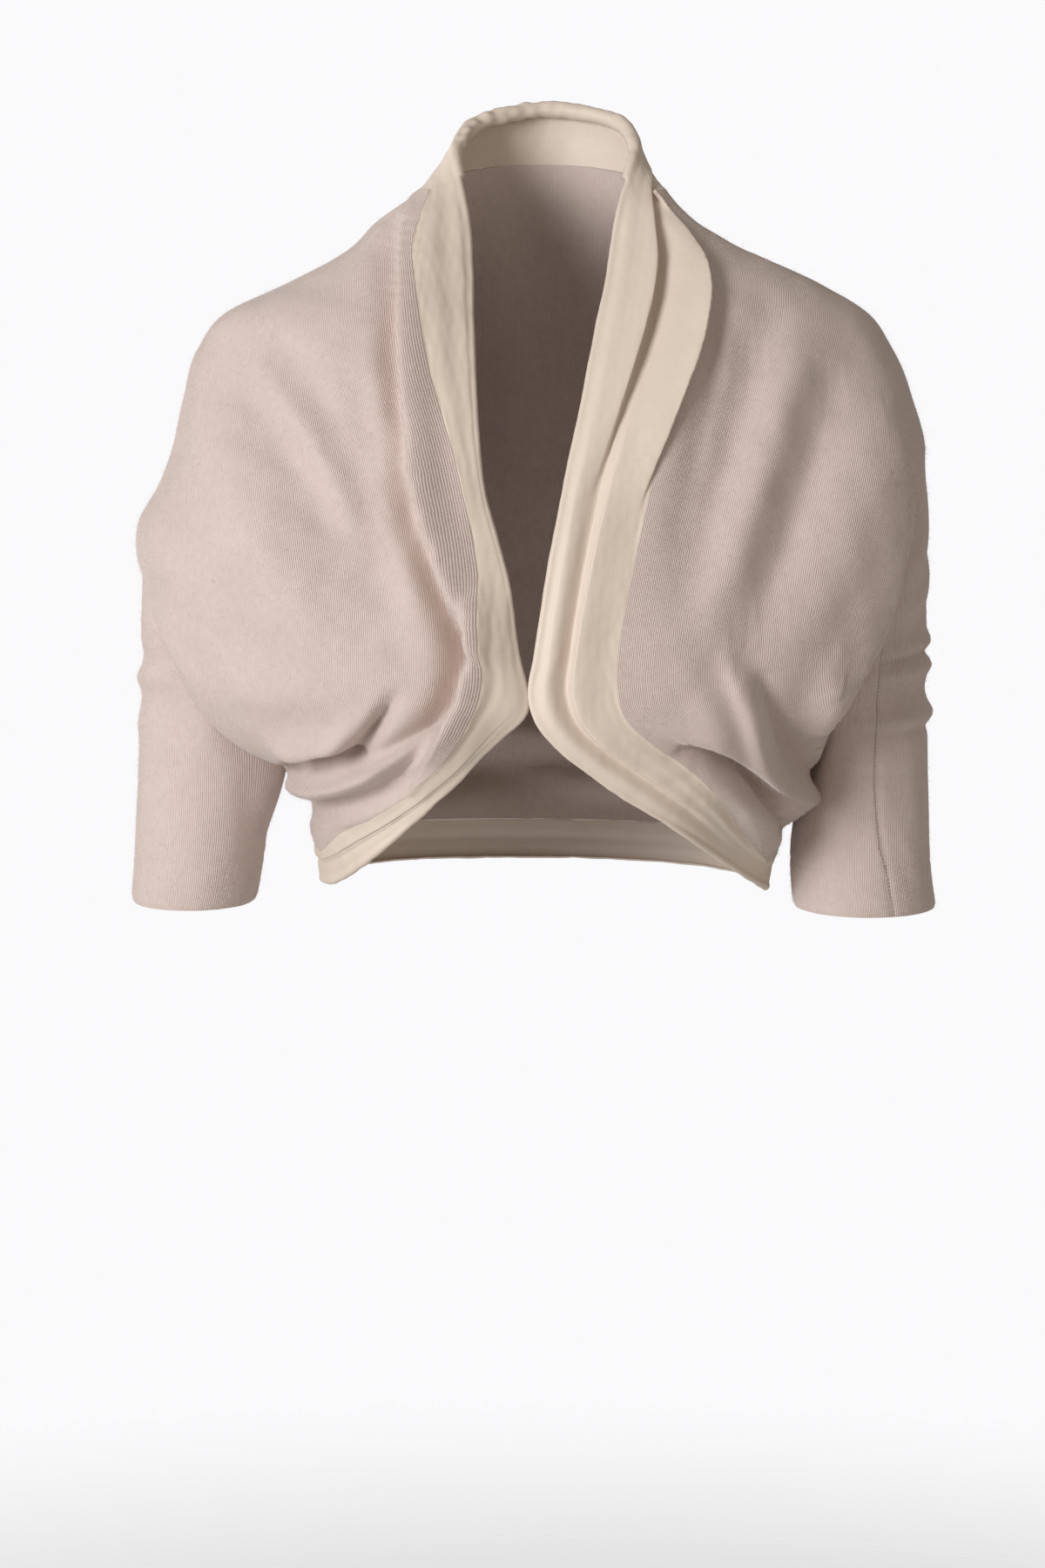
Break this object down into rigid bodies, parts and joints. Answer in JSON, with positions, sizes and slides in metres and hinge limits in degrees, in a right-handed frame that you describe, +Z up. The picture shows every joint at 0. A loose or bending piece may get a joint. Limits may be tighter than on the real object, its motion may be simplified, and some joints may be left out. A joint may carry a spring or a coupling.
{
  "type": "cropped open cashmere cardigan",
  "caption": "Cropped open-front cashmere cardigan in its worn shape, hollow inside, with full draped shoulders, elbow-length sleeves and a wide pleated silk band round neck, fronts and hem.",
  "frame": {"origin": "between the shoulders at the foot of the neck, where the wearer's neck and shoulders carry the garment", "axes": "+Z up along the wearer, -Y the way the open front faces, +X towards the wearer's left sleeve"},
  "size_m": [0.4536, 0.2386, 0.4473],
  "materials": {
    "cashmere": "soft brushed knit",
    "silk": "fine matt weave with a faint sheen"
  },
  "bodies": {
    "root": {"back": "cashmere", "right_front": "cashmere", "left_front": "cashmere", "right_sleeve": "cashmere", "left_sleeve": "cashmere", "neck_band": "silk", "right_band": "silk", "left_band": "silk", "hem_band": "silk"}
  },
  "joints": []
}
